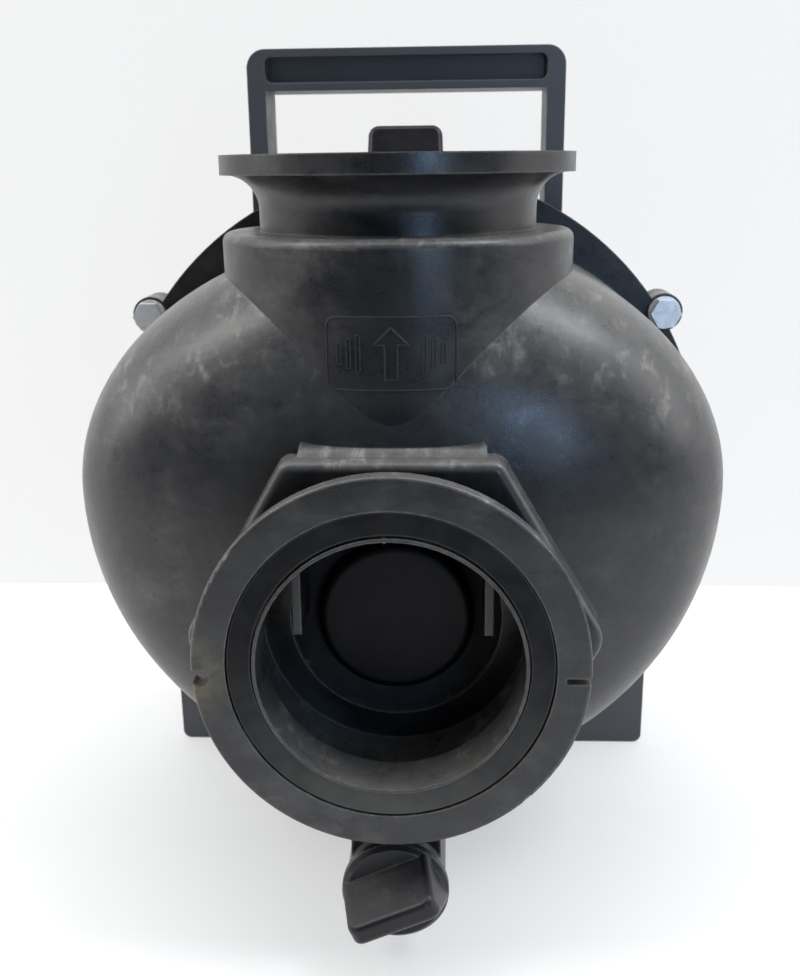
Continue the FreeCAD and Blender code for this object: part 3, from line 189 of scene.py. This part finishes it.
class Plastic(Shader):
    """Glass-filled moulding, built up in layers from its colour to its rubbed edges, with painted shade
    in hollows and painted highlights on its edges and upward faces.
    """

    def __init__(self, name):
        super().__init__(name)
        flattened = self.stretched(0.8, 0.9, 1.2)
        self.cloud = self.noise(size=0.050, detail=7.0, roughness=0.60, distortion=0.2)
        self.smear = self.noise(size=0.016, detail=7.0, roughness=0.68, distortion=0.2, place=flattened)
        self.patch = self.noise(size=0.007, detail=7.0, roughness=0.72, distortion=0.1)
        self.fleck = self.noise(size=0.0022, detail=3.0, roughness=0.6)
        self.grain = self.noise(size=0.0005, detail=2.0, roughness=0.5)
        # Edges to be paled: rubbed wear that also paints the edge highlights.
        self.edge_mask = self.times(self.edges(0.0009), self.span(self.fleck, 0.35, 0.6, 0.3, 1.0))

    def filmed_and_shaded(self, dark, film):
        """The bare colour with painted shade in its hollows, under a cloudy film of handling that the
        painted shade also holds back.
        """
        # Painted shade: ambient occlusion darkens the colour in hollows and between parts, and keeps
        # the film out of them.
        around = self.add("AmbientOcclusion", {"samples": 6}, Distance=0.05)
        unshaded = self.span(around.outputs["AO"], 0.30, 0.75)
        painted_shade = tuple(part * 0.35 for part in dark)
        colour = self.blend(unshaded, painted_shade, dark)
        clouded = self.times(self.span(self.cloud, 0.36, 0.70), self.span(self.smear, 0.44, 0.72))
        broken = self.span(self.fleck, 0.3, 0.8, 0.45, 1.0)
        return self.blend(self.times(self.times(clouded, broken), unshaded), colour, film)

    def lightened(self, colour, dust_and_top_light):
        """Dust on what faces up, which also paints those upward faces lighter as painted top light."""
        # Pale colour on upward faces: real dusting, and painted top light.
        lightening = self.times(self.span(self.facing("Z"), 0.05, 0.95), dust_and_top_light)
        lightening = self.times(lightening, self.span(self.patch, 0.30, 0.68, 0.55, 1.0))
        return self.blend(lightening, colour, DUST_AND_TOP_LIGHT)

    def scuffed_and_highlit(self, colour, dust_and_top_light):
        """Pale scuff streaks on the shoulders, as strong as the dusting there, painted as highlight
        streaks on upward faces.
        """
        along = self.stretched(1.0, 0.45, 0.6)
        streak = self.noise(size=0.0045, detail=6.0, roughness=0.65, distortion=0.4, place=along)
        highlit_scuffs = self.times(self.span(streak, 0.50, 0.70), self.span(self.smear, 0.46, 0.60))
        # Painted highlight: only upward faces get the pale streaks.
        highlit_scuffs = self.times(highlit_scuffs, self.span(self.facing("Z"), 0.15, 0.60, 0.0, dust_and_top_light))
        return self.blend(highlit_scuffs, colour, SCUFF_AND_HIGHLIGHT)

    def edge_worn_and_highlit(self, colour, rub_and_edge_highlight):
        """Edges rubbed to a paler colour, which also paints their highlights."""
        return self.blend(self.times(self.edge_mask, 0.45), colour, rub_and_edge_highlight)

    def grimed(self, colour):
        """Grime that stays in tight inner corners."""
        hollow = self.add("AmbientOcclusion", {"samples": 4, "only_local": True}, Distance=0.006)
        tight = self.span(hollow.outputs["AO"], 0.75, 0.35)
        tucked = self.times(tight, self.span(self.patch, 0.45, 0.62))
        return self.blend(self.times(tucked, 0.25), colour, GRIME)

    def soiled(self, colour, place, reach):
        """Dried mud round one place."""
        stained = self.times(self.near(place, reach), self.span(self.patch, 0.42, 0.58, 0.1, 1.0))
        return self.blend(self.times(stained, 0.55), colour, DRIED_MUD)

    def uneven(self, gloss, dull):
        """Roughness between gloss and dull, duller on the grain's peaks and on rubbed edges."""
        blotches = self.sum(self.smear, self.times(self.patch, 0.8))
        rough = self.span(blotches, 0.55, 1.25, gloss, dull)
        rough = self.sum(rough, self.span(self.grain, 0.3, 0.7, -0.03, 0.04))
        return self.sum(rough, self.times(self.edge_mask, 0.08))

    def moulded(self):
        """Waves, pits and grain of a moulded surface, as heights in metres."""
        waves = (self.cloud, 0.0003)
        pits = (self.patch, 0.00007)
        specks = (self.fleck, 0.00004)
        texture = (self.grain, 0.000015)
        self.bump(waves, pits, specks, texture)


def moulded_plastic(name, dark, film, rub_and_edge_highlight, gloss, dull, dust_and_top_light=0.0, soiled=(), specular=0.5):
    """Plastic of colour dark under film, with painted shade in hollows, painted top light and
    highlights on upward faces, and rubbed edges that also paint highlights; soiled lists (place, reach)
    pairs.
    """
    plastic = Plastic(name)
    colour = plastic.filmed_and_shaded(dark, film)
    colour = plastic.lightened(colour, dust_and_top_light)
    colour = plastic.scuffed_and_highlit(colour, dust_and_top_light)
    colour = plastic.edge_worn_and_highlit(colour, rub_and_edge_highlight)
    colour = plastic.grimed(colour)
    for place, reach in soiled:
        colour = plastic.soiled(colour, place, reach)
    rough = plastic.uneven(gloss, dull)
    plastic.moulded()
    return plastic.finish(colour, rough, specular=specular)


def soft_rubber(name, dark=(0.009, 0.009, 0.010), film=(0.022, 0.021, 0.020), lightened=None):
    """Matt rubber; its last argument is a place and a reach round which painted light makes it paler.
    """
    shader = Shader(name)
    cloud = shader.noise(size=0.012, detail=5.0, roughness=0.6, distortion=0.5)
    grain = shader.noise(size=0.0007, detail=2.0, roughness=0.5)
    colour = shader.blend(shader.span(cloud, 0.42, 0.68), dark, film)
    # Painted light: paler round the given place.
    if lightened:
        lightening = shader.times(shader.near(*lightened), shader.span(cloud, 0.30, 0.60, 0.6, 1.0))
        colour = shader.blend(lightening, colour, PAINTED_LIGHT_ON_RUBBER)
    # Paler rubbed edges, which also paint the edge highlights.
    edge_mask = shader.edges(0.0008)
    colour = shader.blend(shader.times(edge_mask, 0.5), colour, RUBBED_AND_HIGHLIT_RUBBER)
    rough = shader.span(cloud, 0.35, 0.65, 0.5, 0.75)
    shader.bump((cloud, 0.0001), (grain, 0.00002), edge_radius=0.0004)
    return shader.finish(colour, rough, specular=0.12)


def plated_metal(name, bright, stained, gloss, dull):
    """Plated or machined metal with turning lines, stains and rubbed edges."""
    shader = Shader(name)
    across_axis = shader.stretched(0.15, 1.0, 0.15)
    stain = shader.noise(size=0.006, detail=5.0, roughness=0.65, distortion=0.8)
    line = shader.noise(size=0.00025, detail=2.0, roughness=0.5, place=across_axis)
    colour = shader.blend(shader.span(stain, 0.45, 0.7), bright, stained)
    edge_mask = shader.edges(0.0005)
    colour = shader.blend(shader.times(edge_mask, 0.5), colour, BARE_METAL)
    rough = shader.span(stain, 0.35, 0.7, gloss, dull)
    shader.bump((line, 0.00001), (stain, 0.00002), edge_radius=0.0003)
    return shader.finish(colour, rough, metallic=0.85)


def lapped_ceramic(name, clean, stained):
    """Smooth ceramic with faint stains and dulled edges."""
    shader = Shader(name)
    stain = shader.noise(size=0.004, detail=4.0, roughness=0.6)
    edge_mask = shader.edges(0.0004)
    colour = shader.blend(shader.span(stain, 0.45, 0.7), clean, stained)
    colour = shader.blend(shader.times(edge_mask, 0.4), colour, CHIPPED_CERAMIC)
    rough = shader.span(stain, 0.4, 0.7, 0.12, 0.3)
    shader.bump((stain, 0.00001), edge_radius=0.0003)
    return shader.finish(colour, rough)


def casing_plastic():
    """The dusty black casing, with painted top light, highlights and shade, and mud left in the notch
    on the suction flange's left.
    """
    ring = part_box("suction_gasket")
    notch = (ring[0].x * 1.2, ring[0].y, ring[0].z * 0.07)
    return moulded_plastic(
        "casing plastic",
        dark=(0.0165, 0.0165, 0.0180),
        film=(0.150, 0.143, 0.132),
        rub_and_edge_highlight=(0.34, 0.325, 0.30),
        gloss=0.20,
        dull=0.44,
        # Strength of the dusting and of the painted top light and highlight streaks on upward faces.
        dust_and_top_light=0.75,
        soiled=((notch, 0.014),),
    )


def housing_plastic():
    """The greyer, duller rear housing with its handle and foot."""
    return moulded_plastic(
        "housing plastic",
        dark=(0.078, 0.082, 0.092),
        film=(0.075, 0.077, 0.082),
        rub_and_edge_highlight=(0.22, 0.22, 0.22),
        gloss=0.32,
        dull=0.56,
        dust_and_top_light=0.3,
    )


def plug_plastic():
    """The plugs, blacker than the casing because hands keep them clean."""
    return moulded_plastic(
        "plug plastic",
        dark=(0.008, 0.008, 0.011),
        film=(0.024, 0.024, 0.028),
        rub_and_edge_highlight=(0.26, 0.26, 0.26),
        gloss=0.22,
        dull=0.42,
        dust_and_top_light=0.05,
        specular=0.35,
    )


def washed_and_shaded_plastic():
    """The dark parts that the water keeps washed, in a darker copy of the plastic that paints the shade
    inside the bore.
    """
    return moulded_plastic(
        "wet plastic",
        dark=(0.004, 0.004, 0.005),
        film=(0.010, 0.009, 0.008),
        rub_and_edge_highlight=(0.10, 0.10, 0.11),
        gloss=0.34,
        dull=0.50,
        specular=0.16,
    )


def raised_mark_plastic():
    """The flow mark's plastic, cleaner than the casing round it so that it stays faint."""
    return moulded_plastic(
        "mark plastic",
        dark=(0.0165, 0.0165, 0.0180),
        film=(0.060, 0.058, 0.055),
        rub_and_edge_highlight=(0.050, 0.050, 0.050),
        gloss=0.34,
        dull=0.50,
    )


def ring_rubber():
    """The rubber rings, with painted light on the lower half of the suction flange's gasket."""
    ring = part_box("suction_gasket")
    # Painted light on the gasket's lower half.
    below = (0.0, ring[0].y, ring[0].z * 1.15)
    reach = (ring[1].z - ring[0].z) * 0.80
    return soft_rubber("rubber", lightened=(below, reach))


def zinc_plate():
    return plated_metal(
        "zinc plate",
        bright=(0.86, 0.88, 0.90),
        stained=(0.62, 0.62, 0.60),
        gloss=0.34,
        dull=0.52,
    )


def stainless_steel():
    return plated_metal(
        "stainless steel",
        bright=(0.60, 0.60, 0.59),
        stained=(0.42, 0.40, 0.37),
        gloss=0.18,
        dull=0.4,
    )


def turned_brass():
    return plated_metal(
        "brass",
        bright=(0.72, 0.52, 0.22),
        stained=(0.45, 0.30, 0.12),
        gloss=0.2,
        dull=0.42,
    )


def paint_nodes(casing):
    """Gives every node of the frame the material that its slot in the record stands for."""
    washed_and_shaded = washed_and_shaded_plastic()
    by_slot = {
        "black_plastic": casing,
        "plug_plastic": plug_plastic(),
        "rubber": ring_rubber(),
        "zinc_steel": zinc_plate(),
        "stainless": stainless_steel(),
        "brass": turned_brass(),
        "carbon": soft_rubber("carbon", dark=(0.03, 0.03, 0.034), film=(0.07, 0.07, 0.075)),
        "ceramic": lapped_ceramic("ceramic", clean=(0.82, 0.80, 0.75), stained=(0.62, 0.58, 0.50)),
    }
    by_node = {
        "rear_housing": housing_plastic(),
        # The parts inside the bore take the darker copy, as painted shade.
        "volute": washed_and_shaded,
        "impeller": washed_and_shaded,
        "flapper_front_weight": washed_and_shaded,
    }
    slots = {part["node"]: part["material_slot"] for part in frame["record"]["subparts"]}
    for node, item in frame["nodes"].items():
        material = by_node.get(node, by_slot[slots[node]])
        item.data.materials.clear()
        item.data.materials.append(material)


# ------------------------------------------------------------ moulded details


def piece(name, mesh, material):
    """Puts a finished mesh in the scene as part of the pump's fixed body."""
    item = bpy.data.objects.new(name, mesh)
    bpy.context.scene.collection.objects.link(item)
    mesh.materials.append(material)
    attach(item, "pump")
    return item


def rounded_loop(half_width, half_height, corner, steps=6):
    """Points of a rounded rectangle about the origin, anticlockwise."""
    loop = []
    quarters = ((1, 1, 0), (-1, 1, 90), (-1, -1, 180), (1, -1, 270))
    for side, level, start in quarters:
        for step in range(steps + 1):
            turn = math.radians(start + 90 * step / steps)
            across = side * (half_width - corner) + corner * math.cos(turn)
            up = level * (half_height - corner) + corner * math.sin(turn)
            loop.append((across, up))
    return loop


def arrow_loop(reach, head, stem):
    """Points of an arrow that points up, anticlockwise."""
    neck = reach - head
    right = [(stem, -reach), (stem, neck), (head, neck), (0.0, reach)]
    left = [(-across, up) for across, up in reversed(right[:-1])]
    return right + left


def spaced(loop, gap):
    """The same closed loop with points no further apart than gap."""
    points = []
    for index, (across, up) in enumerate(loop):
        next_across, next_up = loop[(index + 1) % len(loop)]
        length = math.hypot(next_across - across, next_up - up)
        count = max(1, math.ceil(length / gap))
        for step in range(count):
            part = step / count
            points.append((across + (next_across - across) * part, up + (next_up - up) * part))
    return points


def outline_on_collar(bm, loop, middle, axis_y, radius, stroke, rise):
    """Adds a raised line that follows a closed loop round the front of a cylinder."""
    foot, shoulder = 1.0, 0.45
    section = ((-foot, -rise), (-shoulder, rise), (shoulder, rise), (foot, -rise))
    points = spaced(loop, stroke * 1.5)
    count = len(points)
    rings = []
    for index, (across, up) in enumerate(points):
        before = Vector(points[index - 1])
        after = Vector(points[(index + 1) % count])
        along = (after - before).normalized()
        side = Vector((along.y, -along.x))
        corners = []
        for share, height in section:
            spot = Vector((across, up)) + side * (share * stroke / 2)
            turn = (spot.x + middle[0]) / radius
            reach = radius + height
            corners.append(bm.verts.new((
                reach * math.sin(turn),
                axis_y - reach * math.cos(turn),
                middle[1] + spot.y,
            )))
        rings.append(corners)
    for index in range(count):
        here, there = rings[index], rings[(index + 1) % count]
        for corner in range(4):
            other = (corner + 1) % 4
            bm.faces.new((here[corner], here[other], there[other], there[corner]))


def finished_mesh(name, bm):
    """Turns the faces outwards and writes the built mesh."""
    bmesh.ops.recalc_face_normals(bm, faces=bm.faces)
    mesh = bpy.data.meshes.new(name)
    bm.to_mesh(mesh)
    bm.free()
    return mesh


def flow_mark(material):
    """A plain raised flow arrow in a rounded frame, moulded on the front of the collar."""
    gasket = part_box("discharge_gasket")
    axis_y = (gasket[0].y + gasket[1].y) / 2
    collar_radius = 0.0565
    middle = (0.0, gasket[0].z - 0.052)
    stroke = 0.0009
    rise = 0.00025
    border = rounded_loop(half_width=0.019, half_height=0.0105, corner=0.003)
    arrow = arrow_loop(reach=0.0075, head=0.005, stem=0.0018)
    bm = bmesh.new()
    for loop in (border, arrow):
        outline_on_collar(bm, loop, middle, axis_y, collar_radius, stroke, rise)
    first_place, tick_gap = 0.0095, 0.0028
    tallest, height_loss = 0.0055, 0.0012
    for side in (-1, 1):
        for step in range(3):
            spot = (side * (first_place + tick_gap * step), middle[1])
            half_height = tallest - height_loss * step
            tick = rounded_loop(half_width=0.0006, half_height=half_height, corner=0.0004, steps=2)
            outline_on_collar(bm, tick, spot, axis_y, collar_radius, stroke * 0.7, rise)
    return piece("flow_mark", finished_mesh("flow_mark", bm), material)


def gate_nub(material):
    """The little stub left where the moulding gate was cut, at the top of the suction bore."""
    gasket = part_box("suction_gasket")
    bore_top = gasket[1].z - 0.0077
    middle_x, half_width = -0.0012, 0.0009
    middle_y, half_depth = 0.0016, 0.0011
    sunk, drop, tip_drop = 0.0006, 0.0008, 0.0015
    sides = 12
    bm = bmesh.new()
    rings = []
    for share, lift in ((1.0, sunk), (0.9, -drop), (0.55, -tip_drop)):
        corners = []
        for step in range(sides):
            turn = 2 * math.pi * step / sides
            across = middle_x + half_width * share * math.cos(turn)
            deep = middle_y + half_depth * share * math.sin(turn)
            corners.append(bm.verts.new((across, deep, bore_top + lift)))
        rings.append(corners)
    for here, there in zip(rings, rings[1:]):
        for index in range(sides):
            other = (index + 1) % sides
            bm.faces.new((here[index], here[other], there[other], there[index]))
    bm.faces.new(rings[0])
    bm.faces.new(rings[-1])
    return piece("gate_nub", finished_mesh("gate_nub", bm), material)


# ------------------------------------------------------------ floor, wall and light


def see_through_back(shader):
    """Lets the camera, and nothing else, look through the back of a sheet."""
    behind = shader.add("NewGeometry").outputs["Backfacing"]
    looked_at = shader.add("LightPath").outputs["Is Camera Ray"]
    clear = shader.add("BsdfTransparent").outputs["BSDF"]
    either = shader.add("MixShader")
    amount, first, second = either.inputs
    shader.feed(amount, shader.times(behind, looked_at))
    shader.feed(first, shader.surface.outputs["BSDF"])
    shader.feed(second, clear)
    ending = shader.tree.nodes["Material Output"]
    shader.feed(ending.inputs["Surface"], either.outputs["Shader"])


def stage_sheet(name, corners, grey, rough, glow):
    """A faintly glowing flat sheet that isn't part of the pump."""
    mesh = bpy.data.meshes.new(name)
    mesh.from_pydata(corners, [], [(0, 1, 2, 3)])
    sheet = bpy.data.objects.new(name, mesh)
    bpy.context.scene.collection.objects.link(sheet)
    shader = Shader(name)
    tone = shader.noise(size=0.006, detail=3.0, roughness=0.5)
    colour = (grey, grey, grey)
    shade = tuple(part * 0.97 for part in colour)
    paint = shader.blend(tone, shade, colour)
    material = shader.finish(paint, rough, specular=0.1)
    shader.feed(shader.surface.inputs["Emission Color"], (1.0, 1.0, 0.995))
    shader.feed(shader.surface.inputs["Emission Strength"], glow)
    see_through_back(shader)
    mesh.materials.append(material)


def floor_and_wall():
    """A pale table that ends in front of the pump, and a pale wall behind it."""
    floor = cad_box[0].z
    wall = 0.325
    front = -0.42
    side = 2.0
    top = 2.0
    table = [(-side, front, floor), (side, front, floor), (side, wall, floor), (-side, wall, floor)]
    backdrop = [(-side, wall, floor), (side, wall, floor), (side, wall, top), (-side, wall, top)]
    stage_sheet("floor", table, grey=0.62, rough=0.6, glow=0.42)
    stage_sheet("wall", backdrop, grey=0.25, rough=0.9, glow=0.70)


def softbox(name, place, width, height, power, tint=(1.0, 1.0, 1.0)):
    """A rectangular lamp that looks at the middle of the pump."""
    light = bpy.data.lights.new(name, "AREA")
    light.shape = "RECTANGLE"
    light.size = width
    light.size_y = height
    light.energy = power
    light.color = tint
    lamp = bpy.data.objects.new(name, light)
    lamp.location = place
    middle = (Vector(cad_box[0]) + Vector(cad_box[1])) / 2
    lamp.rotation_euler = (middle - Vector(place)).to_track_quat("-Z", "Y").to_euler()
    bpy.context.scene.collection.objects.link(lamp)


def lights():
    """Soft studio light from above and both sides, and a cool window behind the camera."""
    warm = (1.0, 0.98, 0.95)
    cool = (0.95, 0.97, 1.0)
    sky_blue = (0.42, 0.66, 1.0)
    softbox("overhead", (0.0, 0.15, 1.5), width=1.5, height=1.2, power=12.0)
    softbox("right lamp", (0.80, -0.10, 1.15), width=0.45, height=0.5, power=6.5, tint=cool)
    softbox("left lamp", (-0.88, -0.18, 1.06), width=0.45, height=0.5, power=4.5, tint=warm)
    softbox("right wall", (1.35, 0.10, 0.60), width=0.8, height=0.9, power=5.0)
    softbox("left wall", (-1.35, 0.10, 0.60), width=0.8, height=0.9, power=5.0)
    softbox("window", (0.52, -1.16, 0.24), width=0.30, height=0.36, power=2.9, tint=sky_blue)


def colour_mix(tree, amount, first, second):
    """A colour between first and second, each a colour or another node's output."""
    node = tree.nodes.new("ShaderNodeMix")
    node.data_type = "RGBA"
    tree.links.new(amount, node.inputs["Factor"])
    for socket, value in zip((node.inputs[6], node.inputs[7]), (first, second)):
        if isinstance(value, tuple):
            socket.default_value = (*value, 1.0)
        else:
            tree.links.new(value, socket)
    return node.outputs[2]


def studio_air():
    """A room that lights the pump from behind, is dark in front of it and looks pale all round."""
    dark = (0.05, 0.052, 0.058)
    bright = (0.72, 0.73, 0.75)
    pale = (0.90, 0.90, 0.90)
    world = bpy.data.worlds.new("studio")
    world.use_nodes = True
    tree = world.node_tree
    sky = tree.nodes["Background"]
    coordinates = tree.nodes.new("ShaderNodeTexCoord")
    parts = tree.nodes.new("ShaderNodeSeparateXYZ")
    ramp = tree.nodes.new("ShaderNodeMapRange")
    ramp.inputs["From Min"].default_value = -0.75
    ramp.inputs["From Max"].default_value = 0.15
    looked_at = tree.nodes.new("ShaderNodeLightPath").outputs["Is Camera Ray"]
    tree.links.new(coordinates.outputs["Generated"], parts.inputs["Vector"])
    tree.links.new(parts.outputs["Y"], ramp.inputs["Value"])
    lit = colour_mix(tree, ramp.outputs["Result"], dark, bright)
    tree.links.new(colour_mix(tree, looked_at, lit, pale), sky.inputs["Color"])
    sky.inputs["Strength"].default_value = 1.0
    bpy.context.scene.world = world


def camera_turn(yaw, pitch, roll):
    """A camera's rotation: yaw right of +Y, pitch down and roll, all in radians."""
    ahead = math.cos(pitch)
    forward = Vector((math.sin(yaw) * ahead, math.cos(yaw) * ahead, -math.sin(pitch)))
    level = Vector((math.cos(yaw), -math.sin(yaw), 0.0))
    upright = level.cross(forward)
    right = level * math.cos(roll) + upright * math.sin(roll)
    up = upright * math.cos(roll) - level * math.sin(roll)
    return Matrix((right, up, -forward)).transposed().to_euler()


def camera():
    """Stands in front of the suction port, a little right of it, looking down at the pump."""
    lens = bpy.data.cameras.new("camera")
    lens.lens = 40.4
    lens.sensor_width = 36.0
    lens.clip_start = 0.01
    lens.dof.use_dof = True
    lens.dof.focus_distance = 0.33
    lens.dof.aperture_fstop = 22.0
    eye = bpy.data.objects.new("camera", lens)
    eye.location = (0.01596, -0.2789, 0.1363)
    eye.rotation_euler = camera_turn(yaw=-0.0449, pitch=0.2883, roll=-0.0123)
    bpy.context.scene.collection.objects.link(eye)
    bpy.context.scene.camera = eye


casing = casing_plastic()
paint_nodes(casing)
flow_mark(raised_mark_plastic())
gate_nub(casing)
floor_and_wall()
studio_air()
lights()
camera()
bpy.context.scene.view_settings.view_transform = "Standard"
